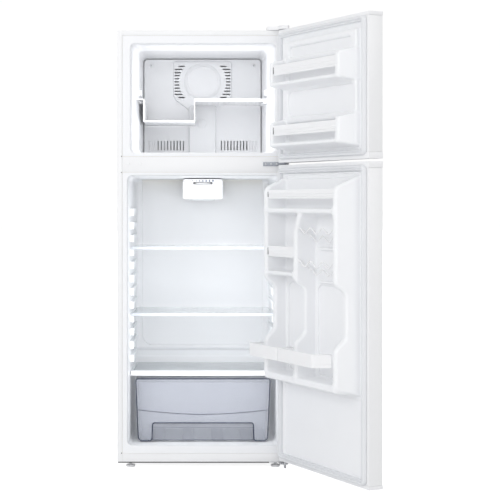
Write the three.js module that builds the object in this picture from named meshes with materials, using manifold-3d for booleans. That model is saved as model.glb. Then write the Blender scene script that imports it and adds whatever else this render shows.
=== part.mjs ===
// Apartment-size top freezer refrigerator, both doors standing open on right-hand hinges.
// Millimetres, +Z up. X runs along the width, Y from the front of the cabinet to its back.
import * as THREE from 'three';
import { mergeVertices } from 'three/addons/utils/BufferGeometryUtils.js';
import Module from 'manifold-3d';

const wasm = await Module();
wasm.setup();

// ---------------------------------------------------------------- driving dimensions
const WIDTH = 595;
const HALF = WIDTH / 2;
const DEPTH = 590;
const BOTTOM = 21; // underside of the cabinet, above the floor
const TOP = 1515;
const SHEET = 1.2; // painted steel
const SKIN = 2.5; // formed plastic
const GAP = 0.3; // between neighbouring pieces
const STRIP = 17; // painted strip round the front
const FLANGE = HALF - STRIP - GAP; // half width of the liner flanges

const FREEZER = { x: 252, floor: 1092, ceiling: 1470, corner: 16, back: 525 };
const THROAT = { y: 100, x: 226, ceiling: 1455 }; // where the freezer walls stop flaring
const COVER_Y = 400; // front of the evaporator cover
const FAN_Z = 1368; // centre of the fan
const FRESH = { x: 262, floor: 77.5, ceiling: 1012.5, corner: 17, back: 472 };
const HUMP = { y: 408, z: 342 }; // step over the compressor
const MACHINE = { y: 442, z: 300 }; // compressor compartment, open to the back
const MULLION = { low: 1024, high: 1078 };
const RAIL_TOP = 50; // steel rail under the fresh food compartment

const RIB = { top: 897, pitch: 47, count: 12, height: 26, front: 112, back: 425, x: 246 };
const UPPER_SHELF_Z = RIB.top - 3 * RIB.pitch;
const LOWER_SHELF_Z = RIB.top - 8 * RIB.pitch;
const COVER_Z = 319; // underside of the crisper cover
const SWITCH = [244, 960]; // x and z of the light switch
const DIAL = { y: 170, z: 987.5 }; // centre of the thermostat's dial

const PIVOT = { x: 282, y: -30 }; // hinge line of both doors
const OPEN = THREE.MathUtils.degToRad(114.5);
const DOOR = { thick: 50, gasket: 14 };
const PIN = 4;
const BORE = 4.6;
const FRESH_DOOR = { low: 31, high: 1048, lowCap: 12, highCap: 20 };
const FREEZER_DOOR = { low: 1056, high: 1512, lowCap: 20, highCap: 12 };

// ---------------------------------------------------------------- materials
const paint = (color, roughness, metalness = 0) =>
  new THREE.MeshStandardMaterial({ color, roughness, metalness });
const WHITE_STEEL = paint(0xf1f2f4, 0.32);
const WHITE_PLASTIC = paint(0xeff0f3, 0.4);
const LINER = paint(0xeceef4, 0.42);
const FOAM = paint(0xe6d9a8, 0.95);
const ZINC = paint(0xb9bcc0, 0.35, 0.9);
const BLACK = paint(0x1c1d1f, 0.55);
const DARK_PAINT = paint(0x222326, 0.45, 0.3);
const RUBBER = paint(0xe4e6ea, 0.7);
const GREY_RUBBER = paint(0x4a4b4e, 0.75);
const ALUMINIUM = paint(0xc6c9cd, 0.35, 0.9);
const CHROME_WIRE = paint(0xe9ebee, 0.3, 0.2);
const glassy = (color, opacity) =>
  new THREE.MeshStandardMaterial({ color, roughness: 0.05, transparent: true, opacity });
const GLASS = glassy(0xd5e2e6, 0.35);
const CLEAR_PLASTIC = glassy(0xaab6cf, 0.4);
const FROSTED = glassy(0xf4f6fa, 0.7);

// ---------------------------------------------------------------- geometry helpers
function solid(geometry) {
  const bare = geometry.clone();
  for (const name of ['normal', 'uv']) bare.deleteAttribute(name);
  const merged = mergeVertices(bare, 1e-3);
  return new wasm.Manifold(new wasm.Mesh({
    numProp: 3,
    vertProperties: new Float32Array(merged.attributes.position.array),
    triVerts: new Uint32Array(merged.index.array),
  }));
}

function box(x0, x1, y0, y1, z0, z1) {
  const shape = new THREE.BoxGeometry(x1 - x0, y1 - y0, z1 - z0);
  shape.translate((x0 + x1) / 2, (y0 + y1) / 2, (z0 + z1) / 2);
  return solid(shape);
}

// Outline points are (x, y) for an extrusion along z, (y, z) along x and (x, z) along y.
const BASES = {
  x: [[0, 1, 0], [0, 0, 1], [1, 0, 0]],
  y: [[1, 0, 0], [0, 0, 1], [0, -1, 0]],
  z: [[1, 0, 0], [0, 1, 0], [0, 0, 1]],
};

function prism(outline, axis, from, to) {
  const shape = outline instanceof THREE.Shape ? outline
    : new THREE.Shape(outline.map(([a, b]) => new THREE.Vector2(a, b)));
  const body = new THREE.ExtrudeGeometry(shape, {
    depth: to - from, bevelEnabled: false, curveSegments: 4,
  });
  const basis = BASES[axis].map((v) => new THREE.Vector3(...v));
  body.applyMatrix4(new THREE.Matrix4().makeBasis(...basis));
  const start = axis === 'y' ? to : from;
  body.translate(...['x', 'y', 'z'].map((name) => (name === axis ? start : 0)));
  return solid(body);
}

function roundedShape(a0, a1, b0, b1, r) {
  const s = new THREE.Shape();
  s.moveTo(a0 + r, b0);
  s.lineTo(a1 - r, b0);
  s.absarc(a1 - r, b0 + r, r, -Math.PI / 2, 0);
  s.lineTo(a1, b1 - r);
  s.absarc(a1 - r, b1 - r, r, 0, Math.PI / 2);
  s.lineTo(a0 + r, b1);
  s.absarc(a0 + r, b1 - r, r, Math.PI / 2, Math.PI);
  s.lineTo(a0, b0 + r);
  s.absarc(a0 + r, b0 + r, r, Math.PI, 1.5 * Math.PI);
  return s;
}

// A solid through rounded rectangles stacked along y (a is x, b is z) or z (a is x, b is y).
function stack(axis, sections) {
  const rings = sections.map((s) => {
    const ring = [];
    for (let corner = 0; corner < 4; corner += 1) {
      const a = corner === 1 || corner === 2 ? s.a0 + s.r : s.a1 - s.r;
      const b = corner > 1 ? s.b0 + s.r : s.b1 - s.r;
      for (let step = 0; step <= 3; step += 1) {
        const turn = (corner + step / 3) * Math.PI / 2;
        const p = [a + s.r * Math.cos(turn), b + s.r * Math.sin(turn)];
        ring.push(axis === 'y' ? [p[0], s.at, p[1]] : [p[0], p[1], s.at]);
      }
    }
    return ring;
  });
  const n = rings[0].length;
  const faces = [];
  const last = (rings.length - 1) * n;
  for (let i = 1; i < n - 1; i += 1) faces.push([0, i + 1, i], [last, last + i, last + i + 1]);
  for (let k = 0; k < rings.length - 1; k += 1) {
    for (let i = 0; i < n; i += 1) {
      const j = (i + 1) % n;
      const low = k * n;
      faces.push([low + i, low + j, low + n + j], [low + i, low + n + j, low + n + i]);
    }
  }
  const shape = new THREE.BufferGeometry();
  shape.setAttribute('position', new THREE.Float32BufferAttribute(rings.flat(2), 3));
  shape.setIndex(faces.map((f) => (axis === 'y' ? [f[0], f[2], f[1]] : f)).flat());
  return solid(shape);
}

const AXIS_TURN = { x: [0, 0, -Math.PI / 2], y: [0, 0, 0], z: [Math.PI / 2, 0, 0] };

function rod(axis, radius, length, centre, sides = 12) {
  const body = new THREE.CylinderGeometry(radius, radius, length, sides);
  body.applyMatrix4(new THREE.Matrix4().makeRotationFromEuler(new THREE.Euler(...AXIS_TURN[axis])));
  body.translate(...centre);
  return solid(body);
}

function lathe(axis, profile, centre, sides = 16) {
  const body = new THREE.LatheGeometry(profile.map(([r, h]) => new THREE.Vector2(r, h)), sides);
  body.applyMatrix4(new THREE.Matrix4().makeRotationFromEuler(new THREE.Euler(...AXIS_TURN[axis])));
  body.translate(...centre);
  return solid(body);
}

function wire(points, radius, sides = 6) {
  const path = new THREE.CatmullRomCurve3(points.map((p) => new THREE.Vector3(...p)));
  const section = new THREE.Shape();
  for (let k = 0; k <= sides; k += 1) {
    const turn = (k / sides) * 2 * Math.PI;
    const place = [radius * Math.cos(turn), radius * Math.sin(turn)];
    if (k === 0) section.moveTo(...place);
    else if (k < sides) section.lineTo(...place);
  }
  return solid(new THREE.ExtrudeGeometry(section, {
    steps: points.length * 2, bevelEnabled: false, extrudePath: path,
  }));
}

const join = (...parts) => parts.reduce((a, b) => a.add(b));
const cut = (whole, ...parts) => parts.reduce((a, b) => a.subtract(b), whole);

function piece(group, name, body, material) {
  const mesh = body.getMesh();
  const shape = new THREE.BufferGeometry();
  shape.setAttribute('position', new THREE.Float32BufferAttribute(mesh.vertProperties, 3));
  shape.setIndex(Array.from(mesh.triVerts));
  const node = new THREE.Mesh(shape, material);
  node.name = name;
  group.add(node);
}

const fridge = new THREE.Group();

// ---------------------------------------------------------------- cabinet body
function outerShell() {
  const walls = prism([
    [-HALF, BOTTOM], [-HALF + SHEET, BOTTOM], [-HALF + SHEET, TOP - SHEET],
    [HALF - SHEET, TOP - SHEET], [HALF - SHEET, BOTTOM], [HALF, BOTTOM], [HALF, TOP], [-HALF, TOP],
  ], 'y', 0, DEPTH - 2);
  const strip = prism([
    [-HALF, BOTTOM], [-HALF + STRIP, BOTTOM], [-HALF + STRIP, TOP - STRIP],
    [HALF - STRIP, TOP - STRIP], [HALF - STRIP, BOTTOM], [HALF, BOTTOM], [HALF, TOP], [-HALF, TOP],
  ], 'y', 0, SHEET);
  piece(fridge, 'outer_shell', join(walls, strip), WHITE_STEEL);
  piece(fridge, 'back_panel', box(-HALF + 1, HALF - 1, DEPTH - 1.5, DEPTH, MACHINE.z + 2, TOP - 1),
    WHITE_STEEL);
}

function freezerSpace(grow, front) {
  const at = (y, x, ceiling) => ({
    at: y, a0: -x - grow, a1: x + grow, b0: FREEZER.floor - grow, b1: ceiling + grow,
    r: FREEZER.corner + grow,
  });
  return stack('y', [
    at(front, FREEZER.x, FREEZER.ceiling), at(SKIN, FREEZER.x, FREEZER.ceiling),
    at(8, FREEZER.x - 2, FREEZER.ceiling - 1),
    at(THROAT.y, THROAT.x, THROAT.ceiling), at(FREEZER.back + grow, THROAT.x - 8, THROAT.ceiling),
  ]);
}

function freshSpace(grow, front) {
  const at = (y, x, floor, ceiling) => ({
    at: y, a0: -x - grow, a1: x + grow, b0: floor - grow, b1: ceiling + grow,
    r: FRESH.corner + grow,
  });
  const room = stack('y', [
    at(front, FRESH.x, FRESH.floor, FRESH.ceiling),
    at(SKIN, FRESH.x, FRESH.floor, FRESH.ceiling),
    at(30, FRESH.x - 4, FRESH.floor - 4, FRESH.ceiling - 5),
    at(HUMP.y + grow, FRESH.x - 9.5, FRESH.floor - 5, FRESH.ceiling - 8),
  ]);
  const overHump = stack('y', [
    at(HUMP.y - 20, FRESH.x - 9.3, HUMP.z - 4, FRESH.ceiling - 8),
    at(HUMP.y, FRESH.x - 9.5, HUMP.z, FRESH.ceiling - 8),
    at(HUMP.y + 20, FRESH.x - 10, HUMP.z + 20, FRESH.ceiling - 8.5),
    at(FRESH.back + grow, FRESH.x - 11, HUMP.z + 24, FRESH.ceiling - 10),
  ]);
  return room.add(overHump);
}

// Shelf guides moulded into a side wall: each is deeper at its front end.
function sideRib(top, front, back, height, inner, wall) {
  const outline = [[front, top - height], [front, top], [back, top], [back, top - height / 3]];
  return [-1, 1].map((side) => {
    const a = side * inner;
    const b = side * wall;
    return prism(outline, 'x', Math.min(a, b), Math.max(a, b));
  });
}

function freezerLiner() {
  const shell = cut(
    join(freezerSpace(SKIN, 0), box(-FLANGE, FLANGE, 0, SKIN, MULLION.high + GAP, TOP - STRIP - GAP)),
    freezerSpace(0, -1),
  );
  const ledges = sideRib(1278.5, 112, 388, 9, 212, THROAT.x + 4);
  const guides = sideRib(1312, 104, 150, 9, 217, THROAT.x + 4);
  const supports = join(...ledges, ...guides).intersect(freezerSpace(SKIN / 2, 0));
  piece(fridge, 'freezer_liner', join(shell, supports), LINER);
}

function freshLiner() {
  const shell = cut(
    join(freshSpace(SKIN, 0), box(-FLANGE, FLANGE, 0, SKIN, RAIL_TOP + GAP, MULLION.low - GAP)),
    freshSpace(0, -1),
  );
  const ribs = [];
  for (let k = 0; k < RIB.count; k += 1) {
    const back = k < 11 ? RIB.back : HUMP.y - 8;
    ribs.push(...sideRib(RIB.top - k * RIB.pitch, RIB.front, back, RIB.height, RIB.x - 2, FRESH.x));
  }
  const coverLedges = sideRib(COVER_Z - GAP, 104, 400, 12, 244, FRESH.x);
  const [x, z] = SWITCH;
  const seat = cut(box(x - 10, FRESH.x - 4, 79, 103, z - 10, z + 10), rod('y', 5.5, 30, [x, 79, z]),
    rod('y', 7.5, 14, [x, 93, z]));
  const supports = join(...ribs, ...coverLedges, seat).intersect(freshSpace(SKIN / 2, 0));
  piece(fridge, 'fresh_food_liner', join(shell, supports), LINER);
}

function cabinetFoam() {
  const inset = SHEET + GAP;
  const block = box(-HALF + inset, HALF - inset, SKIN + GAP, DEPTH - 1.5 - GAP, BOTTOM + 2 + GAP, TOP - inset);
  const machine = box(-HALF, HALF, MACHINE.y - GAP, DEPTH, 0, MACHINE.z + SHEET + GAP);
  const grow = SKIN + GAP;
  piece(fridge, 'cabinet_foam', cut(block, machine, freezerSpace(grow, -1), freshSpace(grow, -1)), FOAM);
}

function mullion() {
  piece(fridge, 'mullion_plate', box(-FLANGE, FLANGE, 0, SHEET, MULLION.low, MULLION.high), WHITE_STEEL);
  [['outer', -259], ['inner', -218]].forEach(([where, x]) => {
    piece(fridge, `mullion_plug_${where}`, rod('y', 4.5, 1.4, [x, -1, 1053]), WHITE_PLASTIC);
  });
}

// Bent sheet: front rail, floor of the cabinet, riser and roof of the compressor compartment.
function base() {
  const side = HALF - SHEET - GAP;
  const { y, z } = MACHINE;
  piece(fridge, 'base_plate', join(
    box(-FLANGE, FLANGE, 0, SKIN, BOTTOM, RAIL_TOP),
    box(-side, side, SHEET + GAP, y + SHEET, BOTTOM, BOTTOM + SHEET),
    box(-side, side, y, y + SHEET, BOTTOM, z + SHEET),
    box(-side, side, y, DEPTH - 2, z, z + SHEET),
  ), WHITE_STEEL);
}

// Cross plate under the compressor, with a fork and axle for each rear roller.
const ROLLER = { x: 225, y: 555, radius: 18, width: 14 };

function machineBase() {
  const side = HALF - SHEET - 2 * GAP;
  const front = MACHINE.y + SHEET + GAP;
  let plate = box(-side, side, front, DEPTH - 4, BOTTOM, BOTTOM + 2);
  for (const sign of [-1, 1]) {
    const x = sign * ROLLER.x;
    plate = cut(plate, box(x - 12, x + 12, ROLLER.y - 24, ROLLER.y + 24, 0, 60));
    for (const cheek of [-1, 1]) {
      const edge = x + cheek * 12;
      plate = join(plate, box(edge - 1.5, edge + 1.5, ROLLER.y - 10, ROLLER.y + 10, 10, BOTTOM + 4));
    }
    plate = join(plate, rod('x', 3, 25, [x, ROLLER.y, ROLLER.radius]));
  }
  piece(fridge, 'machine_base', plate, ZINC);
  for (const [where, sign] of [['left', -1], ['right', 1]]) {
    const tread = rod('x', ROLLER.radius, ROLLER.width, [sign * ROLLER.x, ROLLER.y, ROLLER.radius], 24);
    const bore = rod('x', 3.5, 30, [sign * ROLLER.x, ROLLER.y, ROLLER.radius]);
    piece(fridge, `rear_roller_${where}`, cut(tread, bore), BLACK);
  }
}

function machineRoom() {
  const seat = BOTTOM + 2 + GAP;
  piece(fridge, 'compressor', lathe('z', [
    [0, seat], [62, seat], [62, seat + 8], [48, seat + 20], [60, seat + 40], [62, seat + 95],
    [52, seat + 130], [28, seat + 146], [0, seat + 150],
  ], [110, 514, 0]), DARK_PAINT);
  const pan = cut(box(20, 200, 452, 580, 182, 215), box(23, 197, 455, 577, 185, 220));
  piece(fridge, 'drain_pan', pan, BLACK);
  let cover = box(-HALF + 4, HALF - 4, DEPTH - 3.5, DEPTH - 1.5, BOTTOM + 6, MACHINE.z - 1);
  for (let k = 0; k < 9; k += 1) {
    cover = cut(cover, box(-30, 230, DEPTH - 5, DEPTH, 60 + 22 * k, 68 + 22 * k));
  }
  piece(fridge, 'machine_cover', cover, DARK_PAINT);
  const gland = cut(box(-250, -222, DEPTH - 1.2, DEPTH + 5, 70, 94), rod('y', 4, 30, [-236, DEPTH, 82]));
  piece(fridge, 'power_inlet', gland, BLACK);
}

// ---------------------------------------------------------------- freezer compartment
function evaporatorCover() {
  const low = FREEZER.floor + 1;
  let cover = box(-240, 240, COVER_Y, COVER_Y + SKIN, low, THROAT.ceiling)
    .intersect(freezerSpace(-1.5, 0));
  const column = [[-49, low], [49, low], [49, 1262], [72, 1290], [-72, 1290], [-49, 1262]];
  const hollow = [[-47, low - 5], [47, low - 5], [47, 1263], [68, 1288], [-68, 1288], [-47, 1263]];
  cover = join(cover, prism(column, 'y', COVER_Y - 14, COVER_Y + SKIN));
  cover = cut(cover, prism(hollow, 'y', COVER_Y - 12, COVER_Y + 5));
  for (let k = 0; k < 12; k += 1) {
    for (const side of [-1, 1]) {
      const x = side * (71 + 11.8 * k);
      cover = cut(cover, box(x - 2.6, x + 2.6, COVER_Y - 20, COVER_Y + 5, 1113, 1149));
    }
  }
  for (let k = -5; k <= 5; k += 1) {
    const rise = 11.6 * k;
    const inner = Math.sqrt(86 ** 2 - rise ** 2);
    const outer = Math.sqrt(112 ** 2 - rise ** 2);
    for (const side of [-1, 1]) {
      const x = [side * inner, side * outer].sort((a, b) => a - b);
      cover = cut(cover, box(...x, COVER_Y - 20, COVER_Y + 5, FAN_Z + rise - 3, FAN_Z + rise + 3));
    }
  }
  piece(fridge, 'evaporator_cover', cover, LINER);
  piece(fridge, 'fan_cover_disc', lathe('y', [
    [0, COVER_Y - 11], [66, COVER_Y - 11], [73, COVER_Y - 6], [73, COVER_Y - GAP], [0, COVER_Y - GAP],
  ], [0, 0, FAN_Z], 32), LINER);
}

function evaporatorFan() {
  const hub = COVER_Y + 40;
  let coil = box(-190, 190, COVER_Y + 18, COVER_Y + 78, 1115, 1275);
  for (let k = 0; k < 9; k += 1) {
    coil = cut(coil, box(-175 + 40 * k, -145 + 40 * k, COVER_Y, COVER_Y + 48, 1100, 1290));
  }
  piece(fridge, 'evaporator_coil', coil, ALUMINIUM);
  const motor = join(
    rod('y', 24, 40, [0, hub + 40, FAN_Z]),
    box(-110, 110, hub + 55, hub + 58, FAN_Z - 8, FAN_Z + 8),
    rod('y', 2.5, 40, [0, hub + 10, FAN_Z]),
  );
  piece(fridge, 'fan_motor', motor, BLACK);
  let blade = cut(rod('y', 14, 14, [0, hub, FAN_Z]), rod('y', 3, 40, [0, hub, FAN_Z]));
  for (let k = 0; k < 5; k += 1) {
    const paddle = new THREE.BoxGeometry(24, 1.6, 40);
    paddle.rotateZ(THREE.MathUtils.degToRad(28));
    paddle.translate(0, 0, 31);
    paddle.rotateY((k / 5) * 2 * Math.PI);
    paddle.translate(0, hub, FAN_Z);
    blade = join(blade, solid(paddle));
  }
  piece(fridge, 'fan_blade', blade, WHITE_PLASTIC);
}

// Stepped shelf: its left half hangs lower to hold ice trays.
function freezerShelf() {
  const front = 50;
  const back = COVER_Y - 16;
  const high = 1279;
  const low = 1203;
  const t = 3;
  const profile = [
    [-245, high], [-209, high], [-209, low], [-28, low], [-28, high], [245, high],
    [245, high + t], [-28 - t, high + t], [-28 - t, low + t], [-206, low + t], [-206, high + t],
    [-245, high + t],
  ];
  const plan = [
    [-238, front], [238, front], [THROAT.x - 2.5, THROAT.y], [219.5, back], [-219.5, back],
    [-THROAT.x + 2.5, THROAT.y],
  ];
  const sheet = prism(profile, 'y', front, back).intersect(prism(plan, 'z', low - 1, high + 10));
  const lip = box(-28 - t, 236, front, front + t, high - 6, high + t);
  piece(fridge, 'freezer_shelf', join(sheet, lip), WHITE_PLASTIC);
}

// ---------------------------------------------------------------- fresh food compartment
function controlHousing() {
  const roof = FRESH.ceiling - 8.5;
  const body = prism(roundedShape(-72, 72, 931, roof - 2, 6), 'y', 170, 440);
  const face = prism([[-66, roof - 2], [-62, 994], [-48, 981], [48, 981], [62, 994], [66, roof - 2]],
    'y', 146, 171);
  const dialSlot = box(-32, 32, 130, DIAL.y + 32, DIAL.z - 3, DIAL.z + 3);
  const spindle = (radius) => rod('z', radius, 12, [0, DIAL.y, DIAL.z]);
  const lampWell = box(-45, 45, 240, 330, 920, 960);
  const housing = cut(join(body, face), dialSlot, lampWell);
  piece(fridge, 'control_housing', join(housing, spindle(3)), WHITE_PLASTIC);
  const dial = cut(rod('z', 30, 4, [0, DIAL.y, DIAL.z], 32), spindle(3.6));
  piece(fridge, 'thermostat_dial', dial, WHITE_PLASTIC);
  const lens = cut(box(-44.5, 44.5, 240.5, 329.5, 926, 958), box(-42, 42, 243, 327, 928.5, 970));
  piece(fridge, 'lamp_cover', lens, FROSTED);
  const [x, z] = SWITCH;
  piece(fridge, 'light_switch_button', join(rod('y', 5, 14, [x, 80, z]), rod('y', 7, 3, [x, 88, z])),
    WHITE_PLASTIC);
}

function glassShelf(where, z) {
  const base = z + GAP;
  const pane = prism([[-250.5, 106], [250.5, 106], [246.5, 440], [-246.5, 440]], 'z', base, base + 4);
  piece(fridge, `${where}_shelf_glass`, pane, GLASS);
  const trim = cut(box(-252, 252, 98, 111, base - 3, base + 7), box(-260, 260, 105.5, 112, base - 0.3, base + 4.3),
    box(-260, 260, 107, 112, 0, base));
  piece(fridge, `${where}_shelf_trim`, trim, CLEAR_PLASTIC);
}

function crisper() {
  const z = COVER_Z;
  piece(fridge, 'crisper_cover_glass', prism([[-248, 108], [248, 108], [246, 398], [-246, 398]], 'z', z, z + 4),
    GLASS);
  const frame = cut(box(-253, 253, 90, 112, z - 10, z + 6), box(-260, 260, 100, 113, z - 12, z - 0.3),
    box(-260, 260, 107.5, 113, z - 1, z + 4.3));
  piece(fridge, 'crisper_cover_trim', frame, WHITE_PLASTIC);

  const side = (at, x, front, back) => ({ at, a0: -x, a1: x, b0: front, b1: back, r: 12 });
  const tub = cut(
    stack('z', [side(79.5, 224, 97, 388), side(286, 234, 96, 396)]),
    stack('z', [side(82, 221.5, 99.5, 385.5), side(290, 231.5, 98.5, 393.5)]),
  );
  const rim = cut(prism(roundedShape(-239, 239, 96, 398, 12), 'z', 283.5, 286),
    prism(roundedShape(-231.5, 231.5, 98.5, 393.5, 12), 'z', 280, 290));
  piece(fridge, 'crisper_drawer', join(tub, rim), CLEAR_PLASTIC);

  const low = 78.8;
  const front = new THREE.Shape();
  front.moveTo(-238, 298);
  front.lineTo(-229, 85);
  front.quadraticCurveTo(-228, low, -220, low);
  front.lineTo(-181, low);
  front.lineTo(-179, 132);
  front.quadraticCurveTo(-178, 142, -168, 142);
  front.lineTo(168, 142);
  front.quadraticCurveTo(178, 142, 179, 132);
  front.lineTo(181, low);
  front.lineTo(220, low);
  front.quadraticCurveTo(228, low, 229, 85);
  front.lineTo(238, 298);
  piece(fridge, 'crisper_front', prism(front, 'y', 91.5, 95.5), CLEAR_PLASTIC);
}

// ---------------------------------------------------------------- hinges and feet
function hinges() {
  const arm = [
    [232, 70], [232, 2], [264, -4], [268, -30], [275, -41], [289, -41], [294, -32], [294, 70],
  ];
  const pin = (from, to) => rod('z', PIN, to - from, [PIVOT.x, PIVOT.y, (from + to) / 2], 16);
  const roof = TOP + GAP;
  piece(fridge, 'top_hinge', join(prism(arm, 'z', roof, roof + 3), pin(1502, roof + 2)), ZINC);
  const grown = [
    [222, 76], [222, 0], [258, -8], [262, -34], [272, -46], [291, -46], [296.5, -36], [296.5, 76],
  ];
  const inner = [
    [225, 73], [225, 1], [260, -5], [264.5, -33], [273, -43.5], [290, -43.5], [295, -34], [295, 73],
  ];
  piece(fridge, 'top_hinge_cover',
    cut(prism(grown, 'z', roof, roof + 13), prism(inner, 'z', roof - 1, roof + 10.5)), WHITE_PLASTIC);

  const tongue = [[262, -GAP], [264, -34], [275, -41], [289, -41], [294, -32], [294, -GAP]];
  const middle = join(
    box(208, 280, -3.3, -GAP, 1045, 1059), prism(tongue, 'z', 1050.5, 1053.5), pin(1036, 1068),
  );
  piece(fridge, 'middle_hinge', middle, ZINC);

  const foot = [
    [232, 60], [232, 2], [262, -GAP], [264, -34], [275, -41], [289, -41], [294, -32], [294, 60],
  ];
  const lowest = cut(prism(foot, 'z', BOTTOM - GAP - 3, BOTTOM - GAP), rod('z', 5.6, 30, [252, 30, 20]));
  piece(fridge, 'bottom_hinge', join(lowest, pin(5, 41)), ZINC);
}

function foot(where, x) {
  const body = lathe('z', [
    [0, 0], [14, 0], [16, 3], [16, 7], [6, 10], [5, 10], [5, BOTTOM - GAP], [0, BOTTOM - GAP],
  ], [x, 30, 0], 16);
  piece(fridge, `front_foot_${where}`, body, GREY_RUBBER);
}

// ---------------------------------------------------------------- doors
// u runs from the hinge edge to the free edge, d from the inner face towards the cabinet.
const EDGE = HALF - PIVOT.x;
const FACE = -DOOR.gasket - PIVOT.y;
const doorBox = (u0, u1, d0, d1, z0, z1) => box(EDGE - u1, EDGE - u0, FACE + d0, FACE + d1, z0, z1);
const sideProfile = (outline, u0, u1) =>
  prism(outline.map(([d, z]) => [FACE + d, z]), 'x', EDGE - u1, EDGE - u0);

function doorShell(group, name, size) {
  const low = size.low + size.lowCap + GAP;
  const high = size.high - size.highCap - GAP;
  const t = DOOR.thick;
  const skin = cut(
    doorBox(0, WIDTH, -t, 0, low, high),
    doorBox(1, WIDTH - 1, -t + 1, -1, low - 1, high + 1),
    doorBox(12, WIDTH - 12, -t + 1, 1, low - 1, high + 1),
  );
  piece(group, `${name}_skin`, skin, WHITE_STEEL);
  const cap = (z0, z1) => cut(
    doorBox(-1, WIDTH + 1, -t - 1, 0.5, z0, z1), rod('z', BORE, 60, [0, 0, (z0 + z1) / 2], 16),
  );
  const scoop = (z0, z1) => doorBox(330, 560, -t - 2, -t + 16, z0, z1);
  let lowCap = cap(size.low, size.low + size.lowCap);
  let highCap = cap(size.high - size.highCap, size.high);
  if (size.lowCap > size.highCap) lowCap = cut(lowCap, scoop(size.low - 1, size.low + 14));
  else highCap = cut(highCap, scoop(size.high - 14, size.high + 1));
  piece(group, `${name}_bottom_cap`, lowCap, WHITE_PLASTIC);
  piece(group, `${name}_top_cap`, highCap, WHITE_PLASTIC);
  const edge = 11;
  const wide = 18;
  const gasket = cut(
    doorBox(edge, WIDTH - edge, GAP * 2, DOOR.gasket - 0.5, size.low + edge, size.high - edge),
    doorBox(edge + wide, WIDTH - edge - wide, 0, 20, size.low + edge + wide, size.high - edge - wide),
  );
  piece(group, `${name}_gasket`, gasket, RUBBER);
  return { low, high };
}

// The outline of a wall, shrunk by one thickness and run on through the liner's back plate.
function shrink(outline, depth) {
  const points = outline.map(([d, z]) => new THREE.Vector2(d, z));
  const last = points.length - 1;
  for (const [end, next] of [[0, 1], [last, last - 1]]) {
    const along = points[end].clone().sub(points[next]);
    points[end].addScaledVector(along, 8 / Math.abs(along.x));
  }
  return points.map((p, i) => {
    const before = points[(i + last) % points.length];
    const after = points[(i + 1) % points.length];
    const normals = [p.clone().sub(before), after.clone().sub(p)]
      .map((v) => new THREE.Vector2(v.y, -v.x).normalize());
    const mitre = normals[0].clone().add(normals[1]).divideScalar(1 + normals[0].dot(normals[1]));
    return p.clone().addScaledVector(mitre, depth).toArray();
  });
}

// Walls are hollow ridges of the formed liner, and the foam fills them.
const ridge = ({ outline, u0, u1 }, depth) =>
  sideProfile(shrink(outline, depth), u0 + depth, u1 - depth);

function liner(group, name, size, walls, extras, pockets) {
  const { low, high } = size;
  const plate = doorBox(12 + GAP, WIDTH - 12 - GAP, -SKIN, 0, low, high);
  let body = join(plate, ...walls.map((w) => sideProfile(w.outline, w.u0, w.u1)), ...extras);
  body = cut(body, ...pockets);
  body = cut(body, ...walls.map((w) => ridge(w, SKIN)));
  piece(group, `${name}_liner`, body, LINER);
  const slab = doorBox(1 + GAP, WIDTH - 1 - GAP, -DOOR.thick + 1 + GAP, -SKIN - GAP, low, high);
  const core = join(slab, ...walls.map((w) => ridge(w, SKIN + GAP)));
  piece(group, `${name}_foam`, cut(core, rod('z', 6, 4000, [0, 0, 1000])), FOAM);
}

function bar(group, name, u0, u1, d, z0, z1) {
  const face = doorBox(u0 + GAP, u1 - GAP, d, d + 5, z0, z1);
  piece(group, name, face, WHITE_PLASTIC);
}

function freshDoor() {
  const door = new THREE.Group();
  const size = doorShell(door, 'fresh_door', FRESH_DOOR);
  const crest = 85;
  const neck = 50;
  const outline = [
    [0, 1007], [crest, 968], [crest, 662], [neck, 638], [neck, 494], [crest, 459], [crest, 335], [0, 316],
  ];
  const middle = [[0, 880], ...outline.slice(1).map(([d, z]) => [d, Math.min(z, 880)])];
  const walls = [
    { outline, u0: 48, u1: 72 }, { outline, u0: 515, u1: 538 }, { outline: middle, u0: 258, u1: 280 },
  ];
  const backWall = doorBox(70, 517, 0, 8, 330, 995);
  const extras = [
    backWall,
    sideProfile([[0, 876], [78, 884], [crest, 888], [crest, 900], [78, 900], [0, 900]], 70, 517),
    sideProfile([[0, 668], [78, 674], [crest, 678], [crest, 690], [0, 690]], 70, 260),
    sideProfile([[0, 320], [crest, 335], [crest, 349], [0, 349]], 70, 517),
    doorBox(320, 517, 0, 22, 766, 774), doorBox(320, 517, 0, 22, 658, 666),
  ];
  liner(door, 'fresh_door', size, walls, extras, [doorBox(76, 511, -1, 6, 352, 664)]);
  bar(door, 'fresh_door_top_bar', 72, 515, crest - 10, 932, 962);
  bar(door, 'fresh_door_short_bar', 72, 258, crest - 10, 738, 774);
  [['upper', 838], ['lower', 730]].forEach(([where, z]) => bottleWire(door, where, z));
  bottleGuard(door, 'hinge_side', [[56, 0], [56, 58], [256, 58], [256, 0]]);
  bottleGuard(door, 'free_side', [[262, 0], [262, 58], [494, 58], [514, 0]]);
  place(door);
}

// Two waved wires, one behind the other, that cradle cans laid across them.
function bottleWire(group, where, z) {
  const wave = (d, drop) => {
    const points = [];
    for (let k = 0; k <= 24; k += 1) {
      const u = 283 + (229 * k) / 24;
      points.push([EDGE - u, FACE + d, z - drop - 18 * (0.5 - 0.5 * Math.cos((k / 24) * 6 * Math.PI))]);
    }
    return wire(points, 2, 6);
  };
  const cross = (u) => wire([[EDGE - u, FACE + 30, z - 27], [EDGE - u, FACE + 52, z - 12],
    [EDGE - u, FACE + 74, z]], 2, 6);
  piece(group, `bottle_wire_${where}`, join(wave(74, 0), wave(30, 27), cross(284), cross(511)), CHROME_WIRE);
}

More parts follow.
